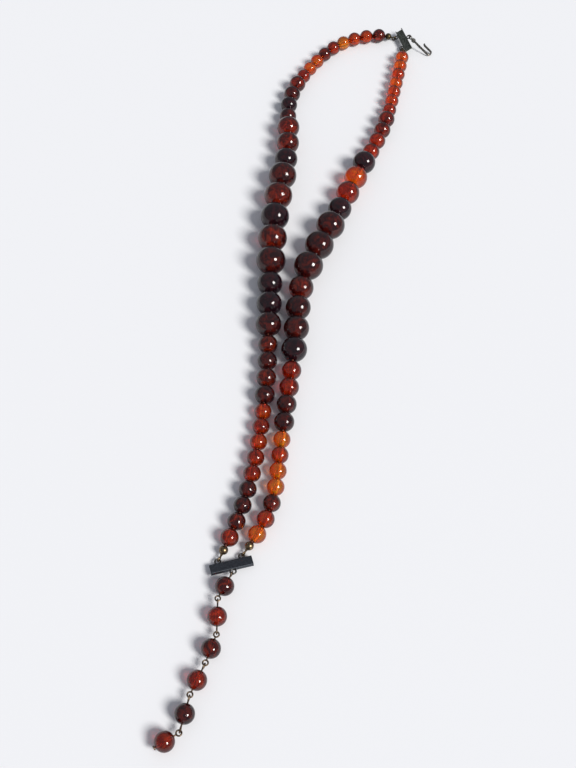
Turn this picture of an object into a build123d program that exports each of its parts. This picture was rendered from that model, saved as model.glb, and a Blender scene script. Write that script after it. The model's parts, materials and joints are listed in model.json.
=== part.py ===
from build123d import *

from dataclasses import dataclass
from math import asin, cos, degrees, dist, pi, radians, sin, sqrt, tan
import os

# Two-strand graduated prayer beads with end bars, a wire hook and a beaded tail chain.
#
# The strands lie nearly closed on a table. Each bead rests on z = 0, the clasp end points to +Y and
# the tail chain to -Y. The two strands run from the tail bar's rings to the clasp bar's rings.
# Every bead has its own link of the strand's route, a short straight length of thread, and the
# strand can turn where two runs of beads meet. Lengths are in millimetres, headings in degrees
# from +X towards +Y.

# Bead diameters
SMALL = 7.1
MEDIUM = 8.4
LARGE = 11.2
EXTRA_LARGE = 13.4
TAIL_BEAD = 7.2

# Bores, thread and the gaps between beads
BEAD_BORE = 1.6
THREAD = 0.7
BEAD_GAP = 0.1
FLEX_GAP = 0.4
STRAND_GAP = 0.9
SPREAD_START = -4.0
SPREAD_STEP = 0.25
CLOSING_STEPS = 8

# End bars: pressed channels with soldered rings
BAR_LENGTH = 16.3
BAR_WIDTH = 4.0
BAR_THICKNESS = 1.4
BAR_WALL = 0.45
BAR_EDGE_RADIUS = 0.25
RING_WIRE = 0.66
RING_RADIUS = 1.08
RING_SPACING = 9.2
STRAND_RING_OFFSET = 1.05
TAIL_RING_OFFSET = 0.85
CLASP_RING_OFFSET = 1.05
RING_CONTACT_HEIGHT = 1.5
TAIL_BAR_HEADING = 14.5
TAIL_BAR_TILT = 13.0
CLASP_BAR_HEADING = -75.0
CLASP_BAR_TILT = 30.0

# Bead tips: hollow balls that hide the thread's knots, each with a neck and a loop
TIP_BALL = 3.5
TIP_WALL = 0.3
TIP_NECK = 0.65
TIP_NECK_RADIUS = 0.6
TIP_GAP = 0.1
THREAD_HOLE_CLEARANCE = 0.1
SEAM_WIDTH = 0.16
KNOT = 2.1
LOOP_WIRE = 0.6
LOOP_RADIUS = 0.95
LINK_CLEARANCE = 0.1

# Eye pins of the tail chain
PIN_WIRE = 0.6
EYE_STANDOFF = 1.85
PIN_BORE_CLEARANCE = 0.1
PIN_HEAD = 1.6
PIN_HEAD_THICKNESS = 0.5
LINK_SLACK = 0.15

# Clasp hook, one wire doubled on itself
HOOK_WIRE = 0.62
HOOK_SPACING = 0.78
HOOK_SHANK = 11.5
HOOK_BEND_RADIUS = 1.55
HOOK_RETURN = 3.9
HOOK_FLARE_RADIUS = 1.5
HOOK_FLARE_TURN = 40.0
HOOK_WRAPS = 3
HOOK_WRAP_PRESS = 0.05
HOOK_HEADING = -43.0
HOOK_REST_HEIGHT = 0.05

# Headings of the bead tips, from their rings or beads along the strands
LEFT_NEAR_TIP_HEADING = 63.0
RIGHT_NEAR_TIP_HEADING = 52.0
LEFT_FAR_TIP_HEADING = 4.0
RIGHT_FAR_TIP_HEADING = 90.0

# Runs of beads from the tail bar to the clasp bar, as (size, count)
SIZES = {"small": SMALL, "medium": MEDIUM, "large": LARGE, "extra_large": EXTRA_LARGE}
LEFT_RUNS = [
    [("small", 6)],
    [("small", 3), ("medium", 2)],
    [("medium", 2), ("large", 3)],
    [("extra_large", 5)],
    [("large", 3), ("medium", 2)],
    [("medium", 2), ("small", 3)],
    [("small", 6)],
]
RIGHT_RUNS = [
    [("small", 7)],
    [("medium", 4)],
    [("large", 4)],
    [("extra_large", 3)],
    [("large", 4)],
    [("medium", 4)],
    [("small", 7)],
]

# Routes of the strands, as (share of the length, heading), chosen by hand
LEFT_ROUTE = [
    (0.00, 67), (0.12, 81), (0.28, 89), (0.42, 88), (0.58, 80),
    (0.71, 92), (0.80, 64), (0.88, 53), (0.94, 28), (1.00, 0),
]
RIGHT_ROUTE = [
    (0.00, 46), (0.09, 86), (0.25, 82), (0.38, 89), (0.48, 58),
    (0.60, 67), (0.74, 63), (0.85, 80), (1.00, 79),
]

# Tail pins from the tail bar down: heading, top loop, bottom end
TAIL_PINS = [
    (-116, "upright", "flat"),
    (-90, "upright", "upright"),
    (-109, "flat", "flat"),
    (-114, "upright", "flat"),
    (-103, "upright", "upright"),
    (-149, "flat", "head"),
]

UP = Vector(0, 0, 1)
MIN_TURN = 0.4
ARC_SHARE = 0.45


def toward(heading):
    """Return the level unit vector at a heading."""
    return Vector(cos(radians(heading)), sin(radians(heading)), 0)


def level(vector):
    """Return a vector with its height set to zero."""
    return Vector(vector.X, vector.Y, 0)


def at_height(vector, height):
    """Return a vector with its height replaced."""
    return Vector(vector.X, vector.Y, height)


def interpolate(share, table):
    """Return the heading at a share of the strand's length."""
    for (low, first), (high, second) in zip(table, table[1:]):
        if share <= high:
            return first + (second - first) * (share - low) / (high - low)
    return table[-1][1]


def torus(centre, axis, seam, radius, wire):
    """Return a closed wire ring around an axis, its seam in a given direction."""
    return Plane(origin=centre, x_dir=seam, z_dir=axis).location * Torus(radius, wire / 2)


def rod(start, end, diameter):
    """Return a round bar between two points."""
    axis = end - start
    plane = Plane(origin=start, z_dir=axis)
    return plane.location * Cylinder(
        diameter / 2, axis.length, align=(Align.CENTER, Align.CENTER, Align.MIN))


def ball(centre, axis, diameter):
    """Return a sphere whose seam runs over its top, clear of a hole along a lying axis."""
    side = UP.cross(axis).normalized()
    return Plane(origin=centre, x_dir=UP, z_dir=side).location * Sphere(diameter / 2)


# ---------------------------------------------------------------------------------------------
# Layout
# ---------------------------------------------------------------------------------------------

@dataclass
class Bead:
    """One strand bead and the two route points on either side of it."""

    run: int
    size: str
    centre: Vector
    before: Vector
    after: Vector

    @property
    def radius(self):
        """Return the bead's radius."""
        return SIZES[self.size] / 2


def lay_strand(runs, start, route, offset=0.0, sway=0.0, spread=0.0):
    """Lay a strand's beads on the table from a start point.

    The heading of each link comes from the route. An offset turns the whole strand, a sway makes
    its bends stronger and its span shorter, and a spread bows its middle sideways.
    """
    sizes = [(run, size) for run, groups in enumerate(runs) for size, count in groups
             for _ in range(count)]
    gaps = [BEAD_GAP]
    for (run, _), (next_run, _) in zip(sizes, sizes[1:]):
        gaps.append(BEAD_GAP if run == next_run else FLEX_GAP)
    gaps.append(BEAD_GAP)
    links = [SIZES[size] + (gaps[i] + gaps[i + 1]) / 2 for i, (_, size) in enumerate(sizes)]
    radii = [SIZES[size] / 2 for _, size in sizes]
    heights = [(a + b) / 2 for a, b in zip(radii[:1] + radii, radii + radii[-1:])]
    total = sum(links)
    shares = [(sum(links[:i]) + links[i] / 2) / total for i in range(len(links))]
    headings = [interpolate(share, route) for share in shares]
    mean = sum(heading * link for heading, link in zip(headings, links)) / total
    point = at_height(start, heights[0])
    beads = []
    for i, (run, size) in enumerate(sizes):
        heading = mean + (headings[i] - mean) * (1 + sway) + offset
        heading -= spread * sin(2 * pi * shares[i])
        after = at_height(point + toward(heading) * links[i], heights[i + 1])
        beads.append(Bead(run, size, at_height((point + after) / 2, radii[i]), point, after))
        point = after
    return beads


def close_strand(runs, start, route, target, spread):
    """Lay a strand so that its last route point meets a target, by its offset and its sway."""
    offset = 0.0
    sway = 0.0
    step = 0.01
    for _ in range(CLOSING_STEPS):
        end = lay_strand(runs, start, route, offset, sway, spread)[-1].after
        turned = lay_strand(runs, start, route, offset + step, sway, spread)[-1].after - end
        swayed = lay_strand(runs, start, route, offset, sway + step, spread)[-1].after - end
        miss = target - end
        scale = turned.X * swayed.Y - turned.Y * swayed.X
        offset += step * (miss.X * swayed.Y - miss.Y * swayed.X) / scale
        sway += step * (turned.X * miss.Y - turned.Y * miss.X) / scale
    return lay_strand(runs, start, route, offset, sway, spread)


def narrowest_gap(first, second):
    """Return the smallest gap between the beads of two strands."""
    return min((a.centre - b.centre).length - a.radius - b.radius
               for a in first for b in second)


@dataclass
class EndBar:
    """A bar's frame: u along it, v across it away from the strands, and its three rings."""

    centre: Vector
    u: Vector
    v: Vector
    outer_offset: float

    def ring(self, name):
        """Return the centre of the left, right or outer ring."""
        along = {"left": -RING_SPACING / 2, "right": RING_SPACING / 2, "outer": 0.0}[name]
        across = -(BAR_WIDTH / 2 + STRAND_RING_OFFSET)
        if name == "outer":
            across = BAR_WIDTH / 2 + self.outer_offset
        return self.centre + self.u * along + self.v * across

    def reach(self, pull):
        """Return the ring's own offset from its centre to its wire on the pulled side."""
        side = self.u * pull.dot(self.u) + self.v * pull.dot(level(self.v).normalized())
        return side.normalized() * RING_RADIUS

    def hold(self, name, pull):
        """Return the ring wire's centre where a piece pulls on it."""
        return self.ring(name) + self.reach(pull)

    @property
    def plane(self):
        """Return the bar's plane, with x along it and y across it."""
        return Plane(origin=self.centre, x_dir=self.u, z_dir=self.u.cross(self.v))


def bar_axes(heading, side, tilt):
    """Return a bar's directions along and across, the outer side raised by the tilt."""
    return toward(heading), toward(heading + side) * cos(radians(tilt)) + UP * sin(radians(tilt))


@dataclass
class Link:
    """A loop hung through a ring: the vertical pivot line and the loop's centre."""

    pivot: Vector
    loop: Vector


def hang(wire_point, pull, ring_wire, loop_wire, loop_radius):
    """Hang an upright loop on a ring's wire, pulled away in a level direction."""
    depth = (ring_wire + loop_wire) / 2 + LINK_CLEARANCE
    return Link(wire_point - pull * depth, wire_point + pull * (loop_radius - depth))


@dataclass
class Tip:
    """A bead tip: its loop's centre, its ball's centre and the route point at its mouth."""

    link: Link
    ball: Vector
    mouth: Vector

    @property
    def axis(self):
        """Return the direction from the loop to the mouth."""
        return (self.mouth - self.link.loop).normalized()


TIP_SPAN = LOOP_RADIUS + LOOP_WIRE / 2 + TIP_NECK + TIP_BALL + TIP_GAP


def tip_run(drop):
    """Return the level distance from a tip's loop to its mouth for a difference in height."""
    return sqrt(TIP_SPAN ** 2 - drop ** 2)


def make_tip(link, mouth):
    """Return the tip between a link and a mouth point."""
    axis = (mouth - link.loop).normalized()
    return Tip(link, mouth - axis * (TIP_BALL / 2 + TIP_GAP), mouth)


def tip_on_ring(bar, name, pull, height):
    """Hang a tip on a bar's ring and return it, its mouth at a height."""
    link = hang(bar.hold(name, pull), pull, RING_WIRE, LOOP_WIRE, LOOP_RADIUS)
    mouth = at_height(link.loop + pull * tip_run(height - link.loop.Z), height)
    return make_tip(link, mouth)


@dataclass
class TailPin:
    """One pin of the tail chain with its bead's centre and the pivot above it."""

    pivot: Vector
    top: Vector
    bottom: Vector
    top_loop: str
    bottom_end: str

    @property
    def axis(self):
        """Return the direction from the top loop to the bottom end."""
        return (self.bottom - self.top).normalized()

    @property
    def bead(self):
        """Return the centre of the pin's bead."""
        return (self.top + self.bottom) / 2


def lay_tail(bar):
    """Lay the tail chain from the tail bar's outer ring and return its pins."""
    pins = []
    half = TAIL_BEAD / 2 + EYE_STANDOFF
    depth = PIN_WIRE + LINK_CLEARANCE
    rest = TAIL_BEAD / 2
    for heading, top_loop, bottom_end in TAIL_PINS:
        pull = toward(heading)
        if not pins:
            link = hang(bar.hold("outer", pull), pull, RING_WIRE, PIN_WIRE, LOOP_RADIUS)
            pivot, top = link.pivot, link.loop
        else:
            last = pins[-1]
            slack = min(LINK_SLACK, abs(rest - last.bottom.Z))
            height = last.bottom.Z + (slack if rest > last.bottom.Z else -slack)
            if top_loop == "upright":
                pivot = last.bottom + pull * (LOOP_RADIUS - depth)
                top = pivot + pull * LOOP_RADIUS
            else:
                pivot = last.bottom + level(last.axis).normalized() * LOOP_RADIUS
                top = pivot + pull * (LOOP_RADIUS - depth)
            top = at_height(top, height)
        tilt = asin((rest - top.Z) / half)
        axis = pull * cos(tilt) + UP * sin(tilt)
        pins.append(TailPin(pivot, top, top + axis * (2 * half), top_loop, bottom_end))
    return pins


# The tail bar is at the layout's origin; the height comes from the loops that it holds.
tail_u, tail_v = bar_axes(TAIL_BAR_HEADING, -90, TAIL_BAR_TILT)
tail_bar = EndBar(Vector(0, 0, 0), tail_u, tail_v, TAIL_RING_OFFSET)
left_pull = toward(LEFT_NEAR_TIP_HEADING)
right_pull = toward(RIGHT_NEAR_TIP_HEADING)
tail_bar.centre = UP * (RING_CONTACT_HEIGHT - tail_bar.hold("left", left_pull).Z)
left_near_tip = tip_on_ring(tail_bar, "left", left_pull, SMALL / 2)
right_near_tip = tip_on_ring(tail_bar, "right", right_pull, SMALL / 2)

# The left strand is laid freely and carries the clasp bar at its end.
left_beads = lay_strand(LEFT_RUNS, left_near_tip.mouth, LEFT_ROUTE)
left_end = left_beads[-1].after
far_pull = toward(LEFT_FAR_TIP_HEADING + 180)
clasp_u, clasp_v = bar_axes(CLASP_BAR_HEADING, 90, CLASP_BAR_TILT)
clasp_bar = EndBar(Vector(0, 0, 0), clasp_u, clasp_v, CLASP_RING_OFFSET)
clasp_bar.centre = UP * (RING_CONTACT_HEIGHT - clasp_bar.hold("left", far_pull).Z)
left_far_mouth = tip_on_ring(clasp_bar, "left", far_pull, left_end.Z).mouth
clasp_bar.centre += left_end - left_far_mouth
left_far_tip = tip_on_ring(clasp_bar, "left", far_pull, left_end.Z)

# The right strand is bent to meet its own tip, and bowed until it clears the left strand.
right_far_pull = toward(RIGHT_FAR_TIP_HEADING + 180)
right_far_tip = tip_on_ring(clasp_bar, "right", right_far_pull, SMALL / 2)
spread = SPREAD_START
right_beads = close_strand(
    RIGHT_RUNS, right_near_tip.mouth, RIGHT_ROUTE, right_far_tip.mouth, spread)
while narrowest_gap(left_beads, right_beads) < STRAND_GAP:
    spread += SPREAD_STEP
    right_beads = close_strand(
        RIGHT_RUNS, right_near_tip.mouth, RIGHT_ROUTE, right_far_tip.mouth, spread)

tail_pins = lay_tail(tail_bar)
hook_pull = toward(HOOK_HEADING)
hook_link = hang(clasp_bar.hold("outer", hook_pull), hook_pull, RING_WIRE, HOOK_WIRE, LOOP_RADIUS)


# ---------------------------------------------------------------------------------------------
# Solids
# ---------------------------------------------------------------------------------------------

nodes = {}


def bored_bead(centre, diameter, axis, bore):
    """Return a round bead with a straight bore through it."""
    hole = rod(centre - axis * diameter, centre + axis * diameter, bore)
    return ball(centre, axis, diameter) - hole


def strand_bead(bead):
    """Return a strand bead, its bore along its own link of the route."""
    axis = (bead.after - bead.before).normalized()
    middle = (bead.before + bead.after) / 2
    hole = rod(middle - axis * (2 * bead.radius), middle + axis * (2 * bead.radius), BEAD_BORE)
    return ball(bead.centre, axis, 2 * bead.radius) - hole


def thread_tube(points):
    """Return a thread along points with a tangent arc at each turn, its radii and its length."""
    kept = [points[0]]
    for point, following in zip(points[1:], points[2:]):
        if (point - kept[-1]).get_angle(following - point) > MIN_TURN:
            kept.append(point)
    kept.append(points[-1])
    radii = []
    for before, here, after in zip(kept, kept[1:], kept[2:]):
        turn = (here - before).get_angle(after - here)
        run = min(dist(before, here), dist(here, after))
        radii.append(ARC_SHARE * run / tan(radians(turn / 2)))
    path = FilletPolyline(*kept, radius=radii) if radii else Line(*kept)
    section = Plane(origin=path @ 0, z_dir=path % 0) * Circle(THREAD / 2)
    return sweep(section, path), radii, path.length


def bar_shell(bar):
    """Return a bar: a pressed channel with its flat face opposite the open side."""
    shell = Box(BAR_LENGTH, BAR_WIDTH, BAR_THICKNESS)
    edges = shell.edges().filter_by(Axis.X).sort_by(Axis.Z)[:2]
    shell = fillet(edges, BAR_EDGE_RADIUS)
    pocket = Box(2 * BAR_LENGTH, BAR_WIDTH - 2 * BAR_WALL, BAR_THICKNESS)
    return bar.plane.location * (shell - Pos(0, 0, BAR_WALL) * pocket)


def bar_rings(bar):
    """Return a bar's three rings, which lie in its plane."""
    return [torus(bar.ring(name), bar.plane.z_dir, bar.u, RING_RADIUS, RING_WIRE)
            for name in ("left", "right", "outer")]


def bead_tip(tip):
    """Return a bead tip: a hollow ball with a seam, a thread hole, a tapered neck and a loop."""
    side = UP.cross(tip.axis).normalized()
    mouth = rod(tip.ball, tip.mouth, THREAD + 2 * THREAD_HOLE_CLEARANCE)
    cavity = ball(tip.ball, tip.axis, TIP_BALL - 2 * TIP_WALL)
    shell = ball(tip.ball, tip.axis, TIP_BALL) - mouth - cavity
    neck_start = tip.link.loop + tip.axis * LOOP_RADIUS
    neck_length = dist(neck_start, tip.ball) - (TIP_BALL - TIP_WALL) / 2
    neck = Plane(origin=neck_start, z_dir=tip.axis).location * Cone(
        LOOP_WIRE / 2, TIP_NECK_RADIUS, neck_length,
        align=(Align.CENTER, Align.CENTER, Align.MIN))
    seam = torus(tip.ball, side.cross(tip.axis), side, TIP_BALL / 2, SEAM_WIDTH)
    loop = torus(tip.link.loop, side, tip.axis, LOOP_RADIUS, LOOP_WIRE)
    return shell - seam + neck + loop


def knot(tip, thread):
    """Return the knot inside a tip, cut where the thread enters it."""
    return ball(tip.ball, tip.axis, KNOT) - thread


def eye(centre, inward, kind):
    """Return a pin's eye, standing upright or lying flat, with its shank on the inward side."""
    side = UP.cross(inward).normalized()
    normal = side if kind == "upright" else inward.cross(side)
    return torus(centre, normal, inward, LOOP_RADIUS, PIN_WIRE)


def tail_pin(pin):
    """Return an eye pin, or the last pin with its flat head."""
    shape = eye(pin.top, pin.axis, pin.top_loop)
    start = pin.top + pin.axis * LOOP_RADIUS
    if pin.bottom_end == "head":
        face = pin.bead + pin.axis * (TAIL_BEAD / 2 + PIN_BORE_CLEARANCE)
        shape += rod(start, face, PIN_WIRE)
        return shape + rod(face, face + pin.axis * PIN_HEAD_THICKNESS, PIN_HEAD)
    shape += rod(start, pin.bottom - pin.axis * LOOP_RADIUS, PIN_WIRE)
    return shape + eye(pin.bottom, -pin.axis, pin.bottom_end)


def clasp_hook(link):
    """Return the hook: an eye, a wrapped base and a doubled wire bent back to a flared tip."""
    base = LOOP_RADIUS + HOOK_WIRE / 2
    bend = base + HOOK_SHANK
    half_height = (HOOK_SPACING + HOOK_WIRE) / 2 + HOOK_REST_HEIGHT
    slope = asin((link.loop.Z - half_height) / (bend + HOOK_BEND_RADIUS + HOOK_WIRE))
    along = hook_pull * cos(slope) - UP * sin(slope)
    plane = Plane(origin=link.loop, x_dir=along, z_dir=along.cross(UP.cross(along)))
    shank = Line((base - HOOK_WIRE / 2, 0), (bend, 0))
    turn = CenterArc((bend, HOOK_BEND_RADIUS), HOOK_BEND_RADIUS, -90, 180)
    back = Line(turn @ 1, (bend - HOOK_RETURN, 2 * HOOK_BEND_RADIUS))
    flare = JernArc(back @ 1, (-1, 0), HOOK_FLARE_RADIUS, -HOOK_FLARE_TURN)
    path = Wire([shank.edge(), turn.edge(), back.edge(), flare.edge()])
    section = Plane(origin=path @ 0, z_dir=path % 0) * Circle(HOOK_WIRE / 2)
    wire = sweep(section, path)
    tip = path @ 1
    ahead = path % 1
    fold = torus(tip, ahead.cross(UP), ahead, HOOK_SPACING / 2, HOOK_WIRE)
    fold = split(fold, bisect_by=Plane(origin=tip, z_dir=ahead), keep=Keep.TOP)
    hook = Pos(0, 0, HOOK_SPACING / 2) * wire + Pos(0, 0, -HOOK_SPACING / 2) * wire + fold
    hook += torus((0, 0, 0), (0, 1, 0), (1, 0, 0), LOOP_RADIUS, HOOK_WIRE)
    hook += Pos(base, 0, 0) * Box(HOOK_WIRE, HOOK_WIRE, HOOK_SPACING + HOOK_WIRE / 2)
    pitch = HOOK_WIRE - HOOK_WRAP_PRESS
    outline = SlotCenterToCenter(HOOK_SPACING, 2 * pitch).wire()
    round_section = Plane(origin=outline @ 0, z_dir=outline % 0) * Circle(HOOK_WIRE / 2)
    wrap = sweep(round_section, outline)
    for i in range(HOOK_WRAPS):
        place = Plane(origin=(base + pitch * (i + 1), 0, 0), x_dir=(0, 0, 1), z_dir=(1, 0, 0))
        hook += place.location * wrap
    return plane.location * hook


def add_strand(side, beads, near_tip, far_tip, far_tip_rides):
    """Add one strand's beads, threads, tips and knots, one node for each run and size."""
    nodes[f"{side}_near_tip"] = bead_tip(near_tip)
    nodes[f"{side}_far_tip"] = bead_tip(far_tip)
    last_run = beads[-1].run
    for run in range(last_run + 1):
        members = [bead for bead in beads if bead.run == run]
        for size in dict.fromkeys(bead.size for bead in members):
            group = [strand_bead(bead) for bead in members if bead.size == size]
            nodes[f"{side}_{size}_beads_{run + 1}"] = Compound(children=group)
        points = [members[0].before] + [bead.after for bead in members]
        if run == 0:
            points.insert(0, near_tip.ball)
        else:
            points[0] += (points[1] - points[0]).normalized() * (FLEX_GAP / 2)
        if run < last_run:
            points[-1] -= (points[-1] - points[-2]).normalized() * (FLEX_GAP / 2)
        elif far_tip_rides:
            points.append(far_tip.ball)
        thread, radii, length = thread_tube(points)
        nodes[f"{side}_thread_{run + 1}"] = thread
        share = thread.volume / (pi * THREAD ** 2 / 4 * length)
        print(f"{side}_thread_{run + 1}: length {length:.2f}, volume share {share:.4f}, radii",
              [round(radius, 1) for radius in radii])
    far_thread = nodes[f"{side}_thread_{last_run + 1}"]
    nodes[f"{side}_near_knot"] = knot(near_tip, nodes[f"{side}_thread_1"])
    nodes[f"{side}_far_knot"] = knot(far_tip, far_thread)


for name, bar in (("tail_bar", tail_bar), ("clasp_bar", clasp_bar)):
    rings = bar_rings(bar)
    nodes[name] = bar_shell(bar) - rings
    nodes[f"{name}_rings"] = Compound(children=rings)

add_strand("left", left_beads, left_near_tip, left_far_tip, True)
add_strand("right", right_beads, right_near_tip, right_far_tip, False)

for i, pin in enumerate(tail_pins, start=1):
    nodes[f"tail_pin_{i}"] = tail_pin(pin)
    nodes[f"tail_bead_{i}"] = bored_bead(
        pin.bead, TAIL_BEAD, pin.axis, PIN_WIRE + 2 * PIN_BORE_CLEARANCE)

nodes["clasp_hook"] = clasp_hook(hook_link)

# The row's origin is the bottom centre of the whole object.
boxes = [shape.bounding_box() for shape in nodes.values()]
low = Vector(*(min(getattr(box.min, axis) for box in boxes) for axis in "XYZ"))
high = Vector(*(max(getattr(box.max, axis) for box in boxes) for axis in "XYZ"))
shift = Vector(-(low.X + high.X) / 2, -(low.Y + high.Y) / 2, -low.Z)

pivots = {"clasp_hook": hook_link.pivot, "right_far_tip": right_far_tip.link.pivot,
          "clasp_bar": left_far_tip.link.pivot, "left_run_1": left_near_tip.link.pivot,
          "right_run_1": right_near_tip.link.pivot}
for side, beads in (("left", left_beads), ("right", right_beads)):
    for bead, following in zip(beads, beads[1:]):
        if bead.run != following.run:
            pivots[f"{side}_run_{following.run + 1}"] = bead.after
for i, pin in enumerate(tail_pins, start=1):
    pivots[f"tail_pin_{i}"] = pin.pivot
pivots = {name: point + shift for name, point in pivots.items()}

if __name__ == "__main__":
    os.makedirs("parts", exist_ok=True)
    for name, shape in nodes.items():
        export_step(Pos(*shift) * shape, f"parts/{name}.step")
    print("size", high - low, "shift", shift, "spread", spread)
    print("narrowest gap between the strands", narrowest_gap(left_beads, right_beads))
    for name, pivot in pivots.items():
        print(f"{name} turns about {pivot.X:.3f}, {pivot.Y:.3f}, {pivot.Z:.3f}")
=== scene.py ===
"""Looks of the two-strand graduated prayer beads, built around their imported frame."""
import json
import logging
import math
from dataclasses import dataclass, field
from enum import Enum
from typing import Any, Iterable, Sequence

import bmesh
import bpy
import numpy as np
from mathutils import Matrix, Vector


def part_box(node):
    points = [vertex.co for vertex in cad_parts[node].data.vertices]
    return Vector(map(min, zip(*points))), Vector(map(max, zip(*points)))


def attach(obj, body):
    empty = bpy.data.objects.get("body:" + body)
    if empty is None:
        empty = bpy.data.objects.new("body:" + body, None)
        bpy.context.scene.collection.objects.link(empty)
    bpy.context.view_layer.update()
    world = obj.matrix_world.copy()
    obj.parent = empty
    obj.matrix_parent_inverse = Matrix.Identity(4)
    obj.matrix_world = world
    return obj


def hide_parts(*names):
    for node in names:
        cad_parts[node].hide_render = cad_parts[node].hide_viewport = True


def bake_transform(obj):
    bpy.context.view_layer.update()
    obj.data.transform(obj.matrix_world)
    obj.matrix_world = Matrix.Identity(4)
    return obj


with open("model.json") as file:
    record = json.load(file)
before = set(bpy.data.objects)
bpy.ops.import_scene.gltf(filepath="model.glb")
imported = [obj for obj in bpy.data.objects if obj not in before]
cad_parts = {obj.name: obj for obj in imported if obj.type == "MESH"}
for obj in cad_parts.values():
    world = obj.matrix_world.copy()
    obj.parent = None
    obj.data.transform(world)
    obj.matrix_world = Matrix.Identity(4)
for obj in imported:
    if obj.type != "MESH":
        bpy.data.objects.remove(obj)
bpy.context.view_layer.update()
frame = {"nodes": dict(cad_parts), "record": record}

LOG = logging.getLogger("prayer_beads")
MM = 0.001
UP = Vector((0.0, 0.0, 1.0))
SEED = 7

# Points of a CAD solid closer than this, in metres, are one point.
SAME_POINT = 1e-7
# Edges along a bead's bore are longer than this many of its radii.
BORE_EDGE = 1.6
# Beads are turned at a diameter of one metre and then scaled.
PATTERN_RADIUS = 0.5

# Sockets reached by number, because other sockets of their node share their names.
MIX_A, MIX_B, MIX_RESULT = 6, 7, 2
RANDOM_MIN, RANDOM_MAX, RANDOM_VALUE = 2, 3, 1


# --- Small helpers -------------------------------------------------------------------------

def linear(colour: str) -> tuple[float, float, float, float]:
    """Turn an sRGB hex colour into linear RGBA.

    Args:
        colour: Six hex digits, such as "b03010".

    Returns:
        The linear colour with an alpha of 1.
    """
    parts = [int(colour[i:i + 2], 16) / 255 for i in (0, 2, 4)]
    red, green, blue = (c / 12.92 if c <= 0.04045 else ((c + 0.055) / 1.055) ** 2.4 for c in parts)
    return red, green, blue, 1.0


def add_node(tree: bpy.types.NodeTree, kind: str, values: dict[Any, Any] | None = None,
             links: dict[Any, bpy.types.NodeSocket] | None = None, **settings: Any) -> bpy.types.Node:
    """Add a node with its settings, socket values and incoming links.

    Args:
        tree: The node tree.
        kind: The node's type name.
        values: Input socket names or numbers with their default values.
        links: Input socket names or numbers with the outputs that feed them.
        **settings: Properties of the node.

    Returns:
        The new node.
    """
    node = tree.nodes.new(kind)
    for name, value in settings.items():
        setattr(node, name, value)
    for name, value in (values or {}).items():
        node.inputs[name].default_value = value
    for name, socket in (links or {}).items():
        tree.links.new(socket, node.inputs[name])
    return node


def mesh_object(name: str, verts: Sequence[Sequence[float]], faces: Sequence[Sequence[int]],
                smooth_angle: float = 40.0) -> bpy.types.Object:
    """Make a linked mesh object at the origin with outward normals and smooth shading.

    Args:
        name: The object's name.
        verts: Vertex positions in metres.
        faces: Vertex numbers of each face.
        smooth_angle: Edges sharper than this, in degrees, stay sharp.

    Returns:
        The new object.
    """
    mesh = bpy.data.meshes.new(name)
    mesh.from_pydata([tuple(v) for v in verts], [], [tuple(f) for f in faces])
    shaper = bmesh.new()
    shaper.from_mesh(mesh)
    bmesh.ops.recalc_face_normals(shaper, faces=shaper.faces)
    shaper.to_mesh(mesh)
    shaper.free()
    mesh.shade_smooth()
    mesh.set_sharp_from_angle(angle=math.radians(smooth_angle))
    piece = bpy.data.objects.new(name, mesh)
    bpy.context.collection.objects.link(piece)
    return piece


def lathe(profile: Sequence[tuple[float, float]],
          segments: int) -> tuple[list[tuple[float, ...]], list[tuple[int, ...]]]:
    """Turn a closed profile of (radius, height) points about Z.

    Args:
        profile: The points of the closed outline.
        segments: Steps around the axis.

    Returns:
        The vertices and the faces.
    """
    count = len(profile)
    verts = []
    for step in range(segments):
        angle = 2 * math.pi * step / segments
        verts += [(r * math.cos(angle), r * math.sin(angle), z) for r, z in profile]
    faces = []
    for step in range(segments):
        here, following = step * count, (step + 1) % segments * count
        for i in range(count):
            j = (i + 1) % count
            faces.append((here + i, following + i, following + j, here + j))
    return verts, faces


def islands(node: str) -> list[tuple[np.ndarray, np.ndarray]]:
    """Split a CAD node into its separate solids.

    Args:
        node: The node's name.

    Returns:
        For each solid, its vertices and its edges as pairs of end points.
    """
    work = bmesh.new()
    work.from_mesh(frame["nodes"][node].data)
    bmesh.ops.remove_doubles(work, verts=work.verts, dist=SAME_POINT)
    found, seen = [], set()
    for start in work.verts:
        if start in seen:
            continue
        group, queue = [], [start]
        seen.add(start)
        while queue:
            vert = queue.pop()
            group.append(vert)
            for edge in vert.link_edges:
                other = edge.other_vert(vert)
                if other not in seen:
                    seen.add(other)
                    queue.append(other)
        edges = {edge for vert in group for edge in vert.link_edges}
        found.append((np.array([v.co[:] for v in group]),
                      np.array([[e.verts[0].co[:], e.verts[1].co[:]] for e in edges])))
    work.free()
    return found


def middle(node: str) -> Vector:
    """Return the centre of a CAD node's box."""
    low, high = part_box(node)
    return (Vector(low) + Vector(high)) / 2


def start_material(name: str) -> tuple[bpy.types.Material, bpy.types.NodeSocket]:
    """Start a material that has only its coordinates.

    Args:
        name: The material's name.

    Returns:
        The material and the socket of its Object coordinates.
    """
    material = bpy.data.materials.new(name)
    material.use_nodes = True
    material.node_tree.nodes.clear()
    return material, add_node(material.node_tree, "ShaderNodeTexCoord").outputs["Object"]


# --- Finishes ------------------------------------------------------------------------------

class Tone(Enum):
    """Tones of the resin, from clear amber to the near-black of the thickest cherry."""

    AMBER = "a"
    ORANGE = "o"
    FLAME = "f"
    CHERRY = "c"
    GARNET = "g"
    MAROON = "m"
    PLUM = "p"


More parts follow.
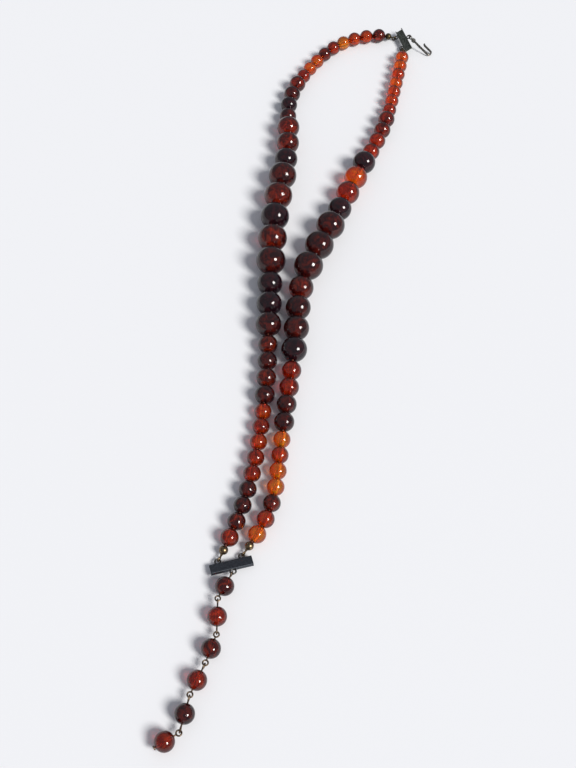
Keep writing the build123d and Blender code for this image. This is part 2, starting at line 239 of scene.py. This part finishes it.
@dataclass(frozen=True)
class ResinFinish:
    """Cast phenolic resin, tumbled to a high gloss.

    It is clear and deeply coloured, marbled with faint swirls, and glows where light gathers in its
    middle. Its edge is painted shade: its colour darkens towards the rim with the angle of view,
    standing for the light that leaves it sideways. Its density is what it absorbs per metre, and
    its clarity is the share of light that passes its surface.
    """

    name: str
    glow: str
    swirl: str
    # The edge colour is painted shade, mixed in towards the rim by the angle of view.
    edge: str
    depth: str
    density: float
    clarity: float
    ior: float = 1.5
    specular: float = 0.34
    roughness: float = 0.06
    swirl_size: float = 4.5 * MM
    swirl_detail: float = 3.0
    swirl_curl: float = 2.2
    swirl_reach: tuple[float, float] = (0.42, 0.6)
    # Blend and reach of the painted shade at the edge, read from the Layer Weight's Facing.
    painted_shade_blend: float = 0.42
    painted_shade_reach: tuple[float, float] = (0.1, 0.6)
    wave_size: float = 1.6 * MM
    wave_detail: float = 2.0
    wave_depth: float = 0.05 * MM
    wave_strength: float = 0.05

    def material(self) -> bpy.types.Material:
        """Build the resin's material."""
        material, place = start_material(self.name)
        tree = material.node_tree
        flow = add_node(tree, "ShaderNodeTexNoise", links={"Vector": place}, values={
            "Scale": 1 / self.swirl_size, "Detail": self.swirl_detail, "Distortion": self.swirl_curl})
        marble = add_node(tree, "ShaderNodeValToRGB", links={"Fac": flow.outputs["Fac"]})
        ends = zip(self.swirl_reach, (self.swirl, self.glow))
        for stop, (position, tint) in zip(marble.color_ramp.elements, ends):
            stop.position = position
            stop.color = linear(tint)
        # Painted shade: the colour darkens towards the edge with the angle of view, which a baked copy
        # can't hold.
        facing = add_node(tree, "ShaderNodeLayerWeight", values={"Blend": self.painted_shade_blend})
        painted_rim_shade = add_node(tree, "ShaderNodeMapRange", interpolation_type="SMOOTHSTEP",
                       links={"Value": facing.outputs["Facing"]}, values={
                           "From Min": self.painted_shade_reach[0], "From Max": self.painted_shade_reach[1]})
        colour = add_node(tree, "ShaderNodeMix", data_type="RGBA", links={
            "Factor": painted_rim_shade.outputs["Result"], MIX_A: marble.outputs["Color"]}, values={
            MIX_B: linear(self.edge)})
        # Tumbling leaves a barely uneven surface, under a hundredth of a millimetre deep.
        waves = add_node(tree, "ShaderNodeTexNoise", links={"Vector": place}, values={
            "Scale": 1 / self.wave_size, "Detail": self.wave_detail})
        bump = add_node(tree, "ShaderNodeBump", links={"Height": waves.outputs["Fac"]}, values={
            "Strength": self.wave_strength, "Distance": self.wave_depth})
        shader = add_node(tree, "ShaderNodeBsdfPrincipled", values={
            "Roughness": self.roughness, "IOR": self.ior, "Transmission Weight": self.clarity,
            "Specular IOR Level": self.specular}, links={
            "Base Color": colour.outputs[MIX_RESULT], "Normal": bump.outputs["Normal"]})
        absorb = add_node(tree, "ShaderNodeVolumeAbsorption", values={
            "Color": linear(self.depth), "Density": self.density})
        add_node(tree, "ShaderNodeOutputMaterial", links={
            "Surface": shader.outputs["BSDF"], "Volume": absorb.outputs["Volume"]})
        return material


# The fourth colour of each resin, its edge, is painted shade towards the rim.
RESINS = {
    Tone.AMBER: ResinFinish("resin_amber", "ffb434", "f88410", "b85a12", "ffb040", 100.0, 0.86),
    Tone.ORANGE: ResinFinish("resin_orange", "ff8e20", "e8560c", "8c340e", "ff9030", 115.0, 0.85),
    Tone.FLAME: ResinFinish("resin_flame", "f86c1c", "c4380e", "6c2410", "ff7a28", 120.0, 0.84),
    Tone.CHERRY: ResinFinish("resin_cherry", "e04c1a", "962610", "521a16", "fc6424", 130.0, 0.82),
    Tone.GARNET: ResinFinish("resin_garnet", "b43c1e", "581a18", "38191c", "f45826", 150.0, 0.79),
    Tone.MAROON: ResinFinish("resin_maroon", "822c22", "3c191e", "2d1a21", "e45030", 175.0, 0.75),
    Tone.PLUM: ResinFinish("resin_plum", "4e2028", "291720", "241a26", "c04c40", 200.0, 0.68),
}


@dataclass(frozen=True)
class MetalFinish:
    """A worn metal, bare on its rubbed patches and tarnished between them.

    Its grain is fine and even, or crossed: brushed at an angle in degrees and again square to it.
    """

    name: str
    bare: str
    tarnish: str
    roughness: float
    tarnish_roughness: float
    metallic: float = 1.0
    patch: float = 1.2 * MM
    patch_detail: float = 5.0
    patch_breakup: float = 0.65
    patch_reach: tuple[float, float] = (0.4, 0.62)
    grain: float = 0.12 * MM
    grain_detail: float = 3.0
    grain_depth: float = 0.01 * MM
    grain_strength: float = 0.6
    crossed: bool = False
    brush_angle: float = 14.5
    brush_length: float = 3 * MM
    brush_detail: float = 2.0

    def material(self) -> bpy.types.Material:
        """Build the metal's material."""
        material, place = start_material(self.name)
        tree = material.node_tree
        patches = add_node(tree, "ShaderNodeTexNoise", links={"Vector": place}, values={
            "Scale": 1 / self.patch, "Detail": self.patch_detail, "Roughness": self.patch_breakup})
        worn = add_node(tree, "ShaderNodeMapRange", links={"Value": patches.outputs["Fac"]}, values={
            "From Min": self.patch_reach[0], "From Max": self.patch_reach[1]})
        colour = add_node(tree, "ShaderNodeMix", data_type="RGBA", links={
            "Factor": worn.outputs["Result"]}, values={
            MIX_A: linear(self.tarnish), MIX_B: linear(self.bare)})
        rough = add_node(tree, "ShaderNodeMapRange", links={"Value": worn.outputs["Result"]}, values={
            "To Min": self.tarnish_roughness, "To Max": self.roughness})
        grain = self.grain_height(tree, place)
        bump = add_node(tree, "ShaderNodeBump", links={"Height": grain}, values={
            "Strength": self.grain_strength, "Distance": self.grain_depth})
        shader = add_node(tree, "ShaderNodeBsdfPrincipled", values={"Metallic": self.metallic}, links={
            "Base Color": colour.outputs[MIX_RESULT], "Roughness": rough.outputs["Result"],
            "Normal": bump.outputs["Normal"]})
        add_node(tree, "ShaderNodeOutputMaterial", links={"Surface": shader.outputs["BSDF"]})
        return material

    def grain_height(self, tree: bpy.types.NodeTree,
                     place: bpy.types.NodeSocket) -> bpy.types.NodeSocket:
        """Return the height of the surface's grain.

        Args:
            tree: The material's node tree.
            place: The Object coordinates.

        Returns:
            The socket that carries the height.
        """
        if not self.crossed:
            return add_node(tree, "ShaderNodeTexNoise", links={"Vector": place}, values={
                "Scale": 1 / self.grain, "Detail": self.grain_detail}).outputs["Fac"]
        # Two brushings at right angles leave a fine crosshatch.
        stretch = (1 / self.brush_length, 1 / self.grain, 1 / self.grain)
        heights = []
        for angle in (self.brush_angle, self.brush_angle + 90):
            lie = add_node(tree, "ShaderNodeMapping", links={"Vector": place}, values={
                "Rotation": (0, 0, -math.radians(angle)), "Scale": stretch})
            brush = add_node(tree, "ShaderNodeTexNoise", links={"Vector": lie.outputs["Vector"]},
                             values={"Scale": 1.0, "Detail": self.brush_detail})
            heights.append(brush.outputs["Fac"])
        both = add_node(tree, "ShaderNodeMath", operation="ADD", links=dict(enumerate(heights)))
        return both.outputs["Value"]


# Gunmetal plate over brushed brass: a dark blue-grey face with a fine crosshatch.
GUNMETAL = MetalFinish("gunmetal_plated_brass", "5c6066", "45484e", 0.38, 0.5, patch=0.5 * MM,
                       grain=0.1 * MM, crossed=True)
# Zinc plate gone grey with oxide: dull and faintly mottled.
OXIDISED_ZINC = MetalFinish("oxidised_zinc_plate", "80847c", "50534c", 0.4, 0.6, patch=0.8 * MM)
# Drawn steel wire, darkened: nearly black where it isn't rubbed.
DARK_STEEL = MetalFinish("darkened_steel_wire", "6e6c6a", "2e2c2b", 0.3, 0.5)
# Pressed brass cups: yellow where they are rubbed, brown in between.
OLD_BRASS = MetalFinish("tarnished_brass", "9a8262", "55473a", 0.24, 0.42, patch=0.7 * MM)
# The same brass under a thick oxide: dark olive brown.
DARK_BRASS = MetalFinish("oxidised_brass", "6e6042", "2e2a20", 0.35, 0.6, patch=0.9 * MM)
# Bronze-toned wire: warm grey brown with bare streaks.
BRONZE_WIRE = MetalFinish("bronze_toned_wire", "8c7a66", "4a3c32", 0.3, 0.5)
# Steel wire with its plating worn off: light grey with dull patches.
HOOK_STEEL = MetalFinish("worn_steel_wire", "9c9a94", "55534e", 0.28, 0.5)


@dataclass(frozen=True)
class ThreadFinish:
    """Waxed polyester thread: dull brown, with soft bands and a faint sheen.

    Its plies are too fine to show, so the bands are drawn about 1.6 mm apart instead, which is
    what the wave texture gives when one unit of it is as long as below.
    """

    name: str = "waxed_thread"
    colour: str = "5a2418"
    light: str = "8a4a30"
    wave_unit: float = 4.4 * MM
    wave_wander: float = 1.2
    wave_detail: float = 2.0
    wave_detail_scale: float = 2.0
    band_depth: float = 0.05 * MM
    band_strength: float = 0.7
    roughness: float = 0.7
    sheen: float = 0.3
    sheen_roughness: float = 0.5

    def material(self) -> bpy.types.Material:
        """Build the thread's material."""
        material, place = start_material(self.name)
        tree = material.node_tree
        bands = add_node(tree, "ShaderNodeTexWave", bands_direction="DIAGONAL", links={
            "Vector": place}, values={
            "Scale": 1 / self.wave_unit, "Distortion": self.wave_wander,
            "Detail": self.wave_detail, "Detail Scale": self.wave_detail_scale})
        colour = add_node(tree, "ShaderNodeMix", data_type="RGBA", links={
            "Factor": bands.outputs["Fac"]}, values={
            MIX_A: linear(self.colour), MIX_B: linear(self.light)})
        bump = add_node(tree, "ShaderNodeBump", links={"Height": bands.outputs["Fac"]}, values={
            "Strength": self.band_strength, "Distance": self.band_depth})
        shader = add_node(tree, "ShaderNodeBsdfPrincipled", values={
            "Roughness": self.roughness, "Sheen Weight": self.sheen,
            "Sheen Roughness": self.sheen_roughness}, links={
            "Base Color": colour.outputs[MIX_RESULT], "Normal": bump.outputs["Normal"]})
        add_node(tree, "ShaderNodeOutputMaterial", links={"Surface": shader.outputs["BSDF"]})
        return material


# --- Beads ---------------------------------------------------------------------------------

@dataclass
class Bead:
    """One bead of the frame: its node, centre, radius, bore direction and bore radius."""

    node: str
    centre: Vector
    radius: float
    axis: Vector
    bore: float
    tone: Tone = Tone.CHERRY

    @classmethod
    def read(cls, node: str, solid: tuple[np.ndarray, np.ndarray]) -> "Bead":
        """Measure a bead's solid.

        Args:
            node: The CAD node's name.
            solid: The vertices and edges of the solid.

        Returns:
            The measured bead.
        """
        verts, edges = solid
        centre = (verts.min(axis=0) + verts.max(axis=0)) / 2
        radius = float(np.linalg.norm(verts - centre, axis=1).max())
        spans = edges[:, 1] - edges[:, 0]
        walls = edges[np.linalg.norm(spans, axis=1) > BORE_EDGE * radius]
        runs = walls[:, 1] - walls[:, 0]
        runs *= np.sign(runs @ runs[0])[:, None]
        axis = Vector(runs.mean(axis=0)).normalized()
        offsets = walls[:, 0] - walls.reshape(-1, 3).mean(axis=0)
        along = offsets @ np.array(axis)
        bore = float(np.linalg.norm(offsets - along[:, None] * np.array(axis), axis=1).mean())
        return cls(node, Vector(centre), radius, axis, bore)


@dataclass
class BeadMaker:
    """Makes bead pieces from one shared tree of instances.

    The lip is where a bore opens. Its flare, drop and depth are shares of the mouth's width.
    Tones are numbered on the points, and numbers closer than the gap are the same tone.
    """

    segments: int = 56
    rings: int = 30
    bore_steps: int = 4
    mouth: float = 0.2 * MM
    lip_flare: float = 0.3
    lip_drop: float = 0.35
    lip_depth: float = 1.1
    smooth_angle: float = 60.0
    tone_gap: float = 0.1
    materials: dict[Tone, bpy.types.Material] = field(init=False)
    tree: bpy.types.NodeTree = field(init=False)

    def __post_init__(self) -> None:
        """Build the resins and the tree."""
        self.materials = {tone: finish.material() for tone, finish in RESINS.items()}
        self.tree = self.build_tree()

    def pattern(self, bead: Bead) -> bpy.types.Object:
        """Turn a bored bead of one metre's diameter about Z, its mouths eased in proportion.

        Args:
            bead: A bead whose bore and diameter set the proportions.

        Returns:
            The bead's object, for the tree to repeat at its real size.
        """
        share = PATTERN_RADIUS / bead.radius
        bore = bead.bore * share
        mouth = self.mouth * share
        edge = math.asin((bore + mouth) / PATTERN_RADIUS)
        outline = []
        for i in range(self.rings + 1):
            angle = edge + (math.pi - 2 * edge) * i / self.rings
            outline.append((PATTERN_RADIUS * math.sin(angle), PATTERN_RADIUS * math.cos(angle)))
        top = outline[0][1]
        lip = top - self.lip_drop * mouth
        inner = top - self.lip_depth * mouth
        flare = bore + self.lip_flare * mouth
        heights = [inner * (2 * step / self.bore_steps - 1) for step in range(self.bore_steps + 1)]
        outline += [(flare, -lip), *((bore, height) for height in heights), (flare, lip)]
        verts, faces = lathe(outline, self.segments)
        piece = mesh_object("bead_pattern", verts, faces, self.smooth_angle)
        bpy.context.collection.objects.unlink(piece)
        return piece

    def build_tree(self) -> bpy.types.NodeTree:
        """Build the tree that strings beads on points and gives each its tone.

        Returns:
            The Geometry Nodes tree.
        """
        tree = bpy.data.node_groups.new("beads_on_points", "GeometryNodeTree")
        face = tree.interface
        face.new_socket("Points", in_out="INPUT", socket_type="NodeSocketGeometry")
        face.new_socket("Bead", in_out="INPUT", socket_type="NodeSocketObject")
        face.new_socket("Diameter", in_out="INPUT", socket_type="NodeSocketFloat")
        face.new_socket("Seed", in_out="INPUT", socket_type="NodeSocketInt")
        face.new_socket("Beads", in_out="OUTPUT", socket_type="NodeSocketGeometry")
        source = tree.nodes.new("NodeGroupInput")
        axis = add_node(tree, "GeometryNodeInputNamedAttribute", data_type="FLOAT_VECTOR",
                        values={"Name": "axis"})
        lie = add_node(tree, "FunctionNodeAlignRotationToVector", axis="Z",
                       links={"Vector": axis.outputs["Attribute"]})
        spin = add_node(tree, "FunctionNodeRandomValue", data_type="FLOAT",
                        values={RANDOM_MIN: 0.0, RANDOM_MAX: 2 * math.pi},
                        links={"Seed": source.outputs["Seed"]})
        turn = add_node(tree, "FunctionNodeAxisAngleToRotation", values={"Axis": (0, 0, 1)},
                        links={"Angle": spin.outputs[RANDOM_VALUE]})
        both = add_node(tree, "FunctionNodeRotateRotation", rotation_space="LOCAL", links={
            "Rotation": lie.outputs["Rotation"], "Rotate By": turn.outputs["Rotation"]})
        shape = add_node(tree, "GeometryNodeObjectInfo", links={"Object": source.outputs["Bead"]})
        string = add_node(tree, "GeometryNodeInstanceOnPoints", links={
            "Points": source.outputs["Points"], "Instance": shape.outputs["Geometry"],
            "Rotation": both.outputs["Rotation"], "Scale": source.outputs["Diameter"]})
        result = add_node(tree, "GeometryNodeRealizeInstances", links={
            "Geometry": string.outputs["Instances"]}).outputs["Geometry"]
        tone = add_node(tree, "GeometryNodeInputNamedAttribute", data_type="FLOAT",
                        values={"Name": "tone"})
        for number, material in enumerate(self.materials.values()):
            chosen = add_node(tree, "FunctionNodeCompare", data_type="FLOAT", operation="EQUAL",
                              links={"A": tone.outputs["Attribute"]},
                              values={"B": float(number), "Epsilon": self.tone_gap})
            result = add_node(tree, "GeometryNodeSetMaterial", values={"Material": material}, links={
                "Geometry": result, "Selection": chosen.outputs["Result"]}).outputs["Geometry"]
        sink = tree.nodes.new("NodeGroupOutput")
        tree.links.new(result, sink.inputs["Beads"])
        return tree

    def make(self, name: str, beads: Sequence[Bead]) -> bpy.types.Object:
        """Make one piece of beads that share a diameter.

        Args:
            name: The piece's name.
            beads: The beads.

        Returns:
            The finished piece, a plain mesh.
        """
        mesh = bpy.data.meshes.new(f"{name}_points")
        mesh.from_pydata([bead.centre for bead in beads], [], [])
        mesh.attributes.new("axis", "FLOAT_VECTOR", "POINT")
        mesh.attributes.new("tone", "FLOAT", "POINT")
        order = list(self.materials)
        for i, bead in enumerate(beads):
            mesh.attributes["axis"].data[i].vector = bead.axis
            mesh.attributes["tone"].data[i].value = float(order.index(bead.tone))
        points = bpy.data.objects.new(f"{name}_points", mesh)
        bpy.context.collection.objects.link(points)
        pattern = self.pattern(beads[0])
        modifier = points.modifiers.new("beads", "NODES")
        modifier.node_group = self.tree
        sockets = {item.name: item.identifier for item in self.tree.interface.items_tree
                   if item.in_out == "INPUT"}
        modifier[sockets["Bead"]] = pattern
        modifier[sockets["Diameter"]] = 2 * beads[0].radius
        modifier[sockets["Seed"]] = SEED
        depsgraph = bpy.context.evaluated_depsgraph_get()
        result = bpy.data.meshes.new_from_object(points.evaluated_get(depsgraph), depsgraph=depsgraph)
        result.name = name
        piece = bpy.data.objects.new(name, result)
        bpy.context.collection.objects.link(piece)
        points.modifiers.remove(modifier)
        bpy.data.objects.remove(points)
        bpy.data.objects.remove(pattern)
        return piece


def body_of_node(node: str) -> str:
    """Return the body that a CAD node belongs to."""
    bodies = frame["record"]["behaviour"]["bodies"]
    return next(body for body, nodes in bodies.items() if node in nodes)


class Side(Enum):
    """The two strands, as they lie seen from the tail."""

    LEFT = "left"
    RIGHT = "right"


# Tones from the clasp end down, chosen bead by bead.
STRAND_TONES = {
    Side.LEFT: "gffacgoocgmpmggpmgpgmppmgmgmfcfccmmgc",
    Side.RIGHT: "oofoffcggccpocpmmmgmmpccmmafaagfa",
}
TAIL_TONES = "gcgcmc"


@dataclass
class FlexThread:
    """The bare thread seen in the gap between two runs of beads.

    Its plies swell it by a share of the core's radius and turn, in radians, from its middle to
    each end. The core is a share of the thread's own radius.
    """

    pivot: Vector
    along: Vector
    radius: float = 0.35 * MM
    half: float = 0.2 * MM
    rings: int = 9
    segments: int = 20
    plies: int = 3
    core: float = 0.95
    ply_swell: float = 0.05
    ply_turn: float = 2.4

    def build(self, name: str) -> bpy.types.Object:
        """Build the thread as a tube closed at both ends.

        Args:
            name: The piece's name.

        Returns:
            The piece.
        """
        verts, faces = [], []
        turn = UP.rotation_difference(self.along)
        for i in range(self.rings):
            share = 2 * i / (self.rings - 1) - 1
            for k in range(self.segments):
                angle = 2 * math.pi * k / self.segments
                swell = 1 + self.ply_swell * math.cos(self.plies * angle + self.ply_turn * share)
                local = Vector((math.cos(angle), math.sin(angle), 0)) * self.radius * self.core * swell
                local.z = share * self.half
                verts.append(self.pivot + turn @ local)
        for i in range(self.rings - 1):
            here, following = i * self.segments, (i + 1) * self.segments
            for k in range(self.segments):
                other = (k + 1) % self.segments
                faces.append((here + k, here + other, following + other, following + k))
        faces.append(tuple(range(self.segments)))
        faces.append(tuple(range((self.rings - 1) * self.segments, self.rings * self.segments)))
        return mesh_object(name, verts, faces)


@dataclass
class Strand:
    """One strand of graduated beads on its thread, from the tail bar to the clasp bar."""

    side: Side
    tones: str
    beads: list[Bead] = field(default_factory=list)

    def __post_init__(self) -> None:
        """Read the strand's beads in order and give each its tone."""
        loose = [Bead.read(node, solid) for node in frame["nodes"]
                 if node.startswith(f"{self.side.value}_") and "_beads_" in node
                 for solid in islands(node)]
        here = middle(f"{self.side.value}_near_knot")
        while loose:
            nearest = min(loose, key=lambda bead: (bead.centre - here).length - bead.radius)
            loose.remove(nearest)
            self.beads.append(nearest)
            here = nearest.centre
        for bead, letter in zip(self.beads, reversed(self.tones)):
            bead.tone = Tone(letter)

    def build(self, maker: BeadMaker) -> list[bpy.types.Object]:
        """Build the strand's beads, one piece for each CAD node.

        Args:
            maker: The bead maker.

        Returns:
            The pieces.
        """
        made = []
        for node in dict.fromkeys(bead.node for bead in self.beads):
            piece = maker.make(f"{node}_resin", [b for b in self.beads if b.node == node])
            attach(piece, body_of_node(node))
            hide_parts(node)
            made.append(piece)
        return made

    def build_flexes(self, material: bpy.types.Material) -> list[bpy.types.Object]:
        """Build the short lengths of thread that bend between one run and the next.

        Args:
            material: The thread's material.

        Returns:
            The pieces.
        """
        made = []
        for joint in frame["record"]["behaviour"]["joints"]:
            if not joint["name"].startswith(f"{self.side.value}_strand_flex"):
                continue
            pivot = Vector(joint["pos_m"])
            pair = sorted(self.beads, key=lambda bead: abs((bead.centre - pivot).length - bead.radius))
            first, second = sorted(pair[:2], key=self.beads.index)
            along = (second.centre - first.centre).normalized()
            thread = FlexThread(pivot, along)
            piece = thread.build(f"{joint['name']}_thread")
            piece.data.materials.append(material)
            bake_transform(piece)
            made.append(piece)
        return made


@dataclass
class TailChain:
    """The extender chain's beads, each spinning on its own eye pin."""

    tones: str

    def build(self, maker: BeadMaker) -> list[bpy.types.Object]:
        """Build the chain's beads, one piece for each.

        Args:
            maker: The bead maker.

        Returns:
            The pieces.
        """
        made = []
        for number, letter in enumerate(self.tones, start=1):
            # The body that spins has the same name as its one node.
            node = f"tail_bead_{number}"
            bead = Bead.read(node, islands(node)[0])
            bead.tone = Tone(letter)
            piece = maker.make(f"{node}_resin", [bead])
            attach(piece, node)
            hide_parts(node)
            made.append(piece)
        return made


# --- Findings and thread -------------------------------------------------------------------

def dress(nodes: Iterable[str], material: bpy.types.Material) -> None:
    """Give CAD nodes a material.

    Args:
        nodes: The nodes' names.
        material: The material.
    """
    for node in nodes:
        mesh = frame["nodes"][node].data
        mesh.materials.clear()
        mesh.materials.append(material)
        LOG.info("%s: %s", node, material.name)


@dataclass
class Findings:
    """The metal findings: end bars, their rings, bead tips, eye pins and the hook."""

    nodes: list[str] = field(default_factory=lambda: list(frame["nodes"]))

    def build(self) -> None:
        """Dress each kind of finding in its own metal."""
        dress(["tail_bar"], GUNMETAL.material())
        dress(["clasp_bar"], OXIDISED_ZINC.material())
        dress(["tail_bar_rings", "clasp_bar_rings"], DARK_STEEL.material())
        dress(self.named("near_tip"), OLD_BRASS.material())
        dress(self.named("far_tip"), DARK_BRASS.material())
        dress(self.named("tail_pin"), BRONZE_WIRE.material())
        dress(["clasp_hook"], HOOK_STEEL.material())

    def named(self, words: str) -> list[str]:
        """Return the nodes whose names hold these words."""
        return [node for node in self.nodes if words in node]


# --- Studio --------------------------------------------------------------------------------

@dataclass
class Studio:
    """A pale floor, a wide soft window light and a camera above the tail.

    Angles are in degrees, the lens is in millimetres and other lengths are in metres.
    """

    camera_place: tuple[float, float, float] = (-32.7 * MM, -267.6 * MM, 343.9 * MM)
    lens: float = 45.46
    down: float = 56.65
    yaw: float = 3.98
    roll: float = 4.14
    nearest: float = 0.01
    floor_size: float = 12.0
    floor_tint: str = "e9eaee"
    floor_roughness: float = 0.75
    floor_specular: float = 0.25
    window_side: tuple[float, float, float] = (0.58, -0.43, 0.72)
    window_spread: float = 22.0
    window_strength: float = 3.45
    window_tint: str = "fffdf8"
    room_strength: float = 0.4
    room_tint: str = "e4e8f2"

    def build(self) -> None:
        """Build the floor, the lights and the camera."""
        self.build_floor()
        self.build_lights()
        self.build_camera()

    def build_floor(self) -> None:
        """Lay the smooth matt white floor that the beads lie on."""
        half = self.floor_size / 2
        corners = [(-half, -half, 0), (half, -half, 0), (half, half, 0), (-half, half, 0)]
        floor = mesh_object("floor", corners, [(0, 1, 2, 3)])
        material = bpy.data.materials.new("matt_white_card")
        material.use_nodes = True
        shader = material.node_tree.nodes["Principled BSDF"]
        shader.inputs["Base Color"].default_value = linear(self.floor_tint)
        shader.inputs["Roughness"].default_value = self.floor_roughness
        shader.inputs["Specular IOR Level"].default_value = self.floor_specular
        floor.data.materials.append(material)

    def build_lights(self) -> None:
        """Light the table from the near right through a wide soft source; the room fills the rest."""
        light = bpy.data.lights.new("window", "SUN")
        light.energy = self.window_strength
        light.angle = math.radians(self.window_spread)
        light.color = linear(self.window_tint)[:3]
        window = bpy.data.objects.new("window", light)
        window.rotation_euler = (-Vector(self.window_side)).to_track_quat("-Z", "Y").to_euler()
        bpy.context.collection.objects.link(window)
        world = bpy.data.worlds.new("room")
        world.use_nodes = True
        background = world.node_tree.nodes["Background"]
        background.inputs["Color"].default_value = linear(self.room_tint)
        background.inputs["Strength"].default_value = self.room_strength
        bpy.context.scene.world = world
        bpy.context.scene.view_settings.view_transform = "Standard"

    def build_camera(self) -> None:
        """Set the camera above the tail, looking along the strands and down."""
        data = bpy.data.cameras.new("camera")
        data.lens = self.lens
        data.clip_start = self.nearest
        camera = bpy.data.objects.new("camera", data)
        down, yaw, roll = (math.radians(a) for a in (self.down, self.yaw, self.roll))
        ahead = Vector((math.sin(yaw) * math.cos(down), math.cos(yaw) * math.cos(down),
                        -math.sin(down)))
        right = Vector((math.cos(yaw), -math.sin(yaw), 0))
        above = right.cross(ahead)
        right, above = (right * math.cos(roll) + above * math.sin(roll),
                        above * math.cos(roll) - right * math.sin(roll))
        turn = Matrix((right, above, -ahead)).transposed().to_4x4()
        camera.matrix_world = Matrix.Translation(self.camera_place) @ turn
        bpy.context.collection.objects.link(camera)
        bpy.context.scene.camera = camera


# --- The whole -----------------------------------------------------------------------------

def main() -> None:
    """Build every piece and report it."""
    logging.basicConfig(level=logging.INFO)
    maker = BeadMaker()
    thread = ThreadFinish().material()
    dress([node for node in frame["nodes"] if "thread" in node or "knot" in node], thread)
    Findings().build()
    for side, tones in STRAND_TONES.items():
        strand = Strand(side, tones)
        for piece in strand.build(maker) + strand.build_flexes(thread):
            LOG.info("%s: %d faces", piece.name, len(piece.data.polygons))
    for piece in TailChain(TAIL_TONES).build(maker):
        LOG.info("%s: %d faces", piece.name, len(piece.data.polygons))
    Studio().build()


if __name__ == "__main__":
    main()
